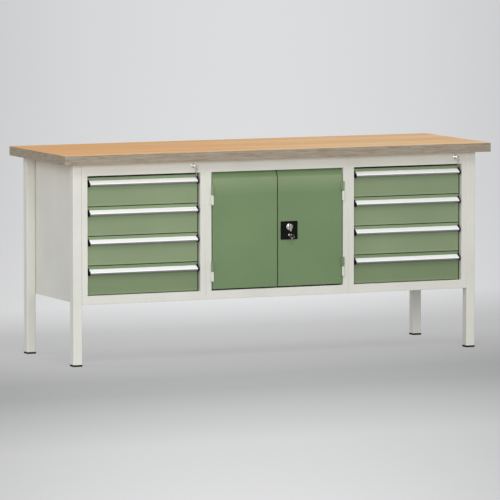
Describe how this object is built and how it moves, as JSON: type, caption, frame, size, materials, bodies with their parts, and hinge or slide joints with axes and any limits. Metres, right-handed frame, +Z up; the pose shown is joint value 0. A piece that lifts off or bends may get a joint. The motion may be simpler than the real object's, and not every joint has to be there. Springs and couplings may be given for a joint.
{
  "type": "workbench",
  "caption": "Long workbench: thick multiplex top on square legs, a drawer cabinet at each end and a two-door cabinet between them.",
  "frame": {"origin": "on the floor, under the middle of the worktop", "axes": "+X along the bench to its right as the user faces it, +Y from the drawers' side to the back, +Z up"},
  "size_m": [2, 0.65, 0.9],
  "materials": {
    "beech": "oiled beech face with multiplex edges",
    "frame_paint": "light grey powder coat, fine texture",
    "front_paint": "reseda green powder coat, fine texture",
    "tray_steel": "grey coated sheet",
    "grip_aluminium": "natural anodised, drawn along its length",
    "black_plastic": "fine matt grain",
    "zinc_steel": "bright zinc",
    "nickel": "nickel plated"
  },
  "bodies": {
    "bench": {"worktop": "beech", "leg_front_left": "frame_paint", "leg_front_right": "frame_paint", "leg_back_left": "frame_paint", "leg_back_right": "frame_paint", "foot_plugs": "black_plastic", "carcass_left": "frame_paint", "carcass_middle": "frame_paint", "carcass_right": "frame_paint", "leg_bolts": "zinc_steel", "worktop_screws": "zinc_steel", "runner_rails_left": "zinc_steel", "runner_rails_right": "zinc_steel", "hinge_lower_halves": "frame_paint", "shelf": "frame_paint", "drawer_lock_barrels": "nickel"},
    "drawer_left_1": {"drawer_left_1_front": "front_paint", "drawer_left_1_tray": "tray_steel", "drawer_left_1_grip": "grip_aluminium", "drawer_left_1_grip_caps": "black_plastic"},
    "drawer_left_2": {"drawer_left_2_front": "front_paint", "drawer_left_2_tray": "tray_steel", "drawer_left_2_grip": "grip_aluminium", "drawer_left_2_grip_caps": "black_plastic"},
    "drawer_left_3": {"drawer_left_3_front": "front_paint", "drawer_left_3_tray": "tray_steel", "drawer_left_3_grip": "grip_aluminium", "drawer_left_3_grip_caps": "black_plastic"},
    "drawer_left_4": {"drawer_left_4_front": "front_paint", "drawer_left_4_tray": "tray_steel", "drawer_left_4_grip": "grip_aluminium", "drawer_left_4_grip_caps": "black_plastic"},
    "drawer_right_1": {"drawer_right_1_front": "front_paint", "drawer_right_1_tray": "tray_steel", "drawer_right_1_grip": "grip_aluminium", "drawer_right_1_grip_caps": "black_plastic"},
    "drawer_right_2": {"drawer_right_2_front": "front_paint", "drawer_right_2_tray": "tray_steel", "drawer_right_2_grip": "grip_aluminium", "drawer_right_2_grip_caps": "black_plastic"},
    "drawer_right_3": {"drawer_right_3_front": "front_paint", "drawer_right_3_tray": "tray_steel", "drawer_right_3_grip": "grip_aluminium", "drawer_right_3_grip_caps": "black_plastic"},
    "drawer_right_4": {"drawer_right_4_front": "front_paint", "drawer_right_4_tray": "tray_steel", "drawer_right_4_grip": "grip_aluminium", "drawer_right_4_grip_caps": "black_plastic"},
    "door_left": {"door_left": "front_paint"},
    "door_right": {"door_right": "front_paint", "lock_plate": "black_plastic"},
    "door_handle": {"door_handle": "nickel"},
    "locking_rod_upper": {"locking_rod_upper": "zinc_steel"},
    "locking_rod_lower": {"locking_rod_lower": "zinc_steel"},
    "drawer_lock_left_key": {"drawer_lock_left_key": "nickel"},
    "drawer_lock_left_spare_key": {"drawer_lock_left_spare_key": "nickel"},
    "drawer_lock_right_key": {"drawer_lock_right_key": "nickel"},
    "drawer_lock_right_spare_key": {"drawer_lock_right_spare_key": "nickel"},
    "door_lock_key": {"door_lock_key": "nickel"},
    "door_lock_spare_key": {"door_lock_spare_key": "nickel"}
  },
  "joints": [
    {"name": "drawer_left_1_slide", "type": "slide", "parent": "bench", "child": "drawer_left_1", "axis": [0, -1, 0], "range_m": [0, 0.4]},
    {"name": "drawer_left_2_slide", "type": "slide", "parent": "bench", "child": "drawer_left_2", "axis": [0, -1, 0], "range_m": [0, 0.4]},
    {"name": "drawer_left_3_slide", "type": "slide", "parent": "bench", "child": "drawer_left_3", "axis": [0, -1, 0], "range_m": [0, 0.4]},
    {"name": "drawer_left_4_slide", "type": "slide", "parent": "bench", "child": "drawer_left_4", "axis": [0, -1, 0], "range_m": [0, 0.4]},
    {"name": "drawer_right_1_slide", "type": "slide", "parent": "bench", "child": "drawer_right_1", "axis": [0, -1, 0], "range_m": [0, 0.4]},
    {"name": "drawer_right_2_slide", "type": "slide", "parent": "bench", "child": "drawer_right_2", "axis": [0, -1, 0], "range_m": [0, 0.4]},
    {"name": "drawer_right_3_slide", "type": "slide", "parent": "bench", "child": "drawer_right_3", "axis": [0, -1, 0], "range_m": [0, 0.4]},
    {"name": "drawer_right_4_slide", "type": "slide", "parent": "bench", "child": "drawer_right_4", "axis": [0, -1, 0], "range_m": [0, 0.4]},
    {"name": "door_left_hinge", "type": "hinge", "parent": "bench", "child": "door_left", "pos_m": [-0.30775, -0.286, 0.55], "axis": [0, 0, -1], "range_deg": [0, 90]},
    {"name": "door_right_hinge", "type": "hinge", "parent": "bench", "child": "door_right", "pos_m": [0.30775, -0.286, 0.55], "axis": [0, 0, 1], "range_deg": [0, 90]},
    {"name": "door_handle_turn", "type": "hinge", "parent": "door_right", "child": "door_handle", "pos_m": [0.053, -0.28, 0.561], "axis": [0, 1, 0], "range_deg": [0, 90]},
    {"name": "locking_rod_upper_slide", "type": "slide", "parent": "door_right", "child": "locking_rod_upper", "axis": [0, 0, 1], "range_m": [0, 0.0152]},
    {"name": "locking_rod_lower_slide", "type": "slide", "parent": "door_right", "child": "locking_rod_lower", "axis": [0, 0, -1], "range_m": [0, 0.0152]},
    {"name": "drawer_lock_left_key_turn", "type": "hinge", "parent": "bench", "child": "drawer_lock_left_key", "pos_m": [-0.394, -0.28, 0.839], "axis": [0, -1, 0], "range_deg": [0, 90]},
    {"name": "drawer_lock_left_spare_key_hang", "type": "hinge", "parent": "drawer_lock_left_key", "child": "drawer_lock_left_spare_key", "pos_m": [-0.394, -0.2975, 0.839], "axis": [0, -1, 0], "range_deg": [-90, 0]},
    {"name": "drawer_lock_right_key_turn", "type": "hinge", "parent": "bench", "child": "drawer_lock_right_key", "pos_m": [0.849, -0.28, 0.839], "axis": [0, -1, 0], "range_deg": [0, 90]},
    {"name": "drawer_lock_right_spare_key_hang", "type": "hinge", "parent": "drawer_lock_right_key", "child": "drawer_lock_right_spare_key", "pos_m": [0.849, -0.2975, 0.839], "axis": [0, -1, 0], "range_deg": [-90, 0]},
    {"name": "door_lock_key_turn", "type": "hinge", "parent": "door_right", "child": "door_lock_key", "pos_m": [0.053, -0.28, 0.527], "axis": [0, -1, 0], "range_deg": [0, 90]},
    {"name": "door_lock_spare_key_hang", "type": "hinge", "parent": "door_lock_key", "child": "door_lock_spare_key", "pos_m": [0.053, -0.2975, 0.527], "axis": [0, -1, 0], "range_deg": [-90, 0]}
  ],
  "couplings": [
    {"joint": "locking_rod_upper_slide", "follows": "door_handle_turn", "m_per_rad": 0.00955},
    {"joint": "locking_rod_lower_slide", "follows": "door_handle_turn", "m_per_rad": 0.00955},
    {"joint": "drawer_lock_left_spare_key_hang", "follows": "drawer_lock_left_key_turn", "ratio": -1},
    {"joint": "drawer_lock_right_spare_key_hang", "follows": "drawer_lock_right_key_turn", "ratio": -1},
    {"joint": "door_lock_spare_key_hang", "follows": "door_lock_key_turn", "ratio": -1}
  ]
}
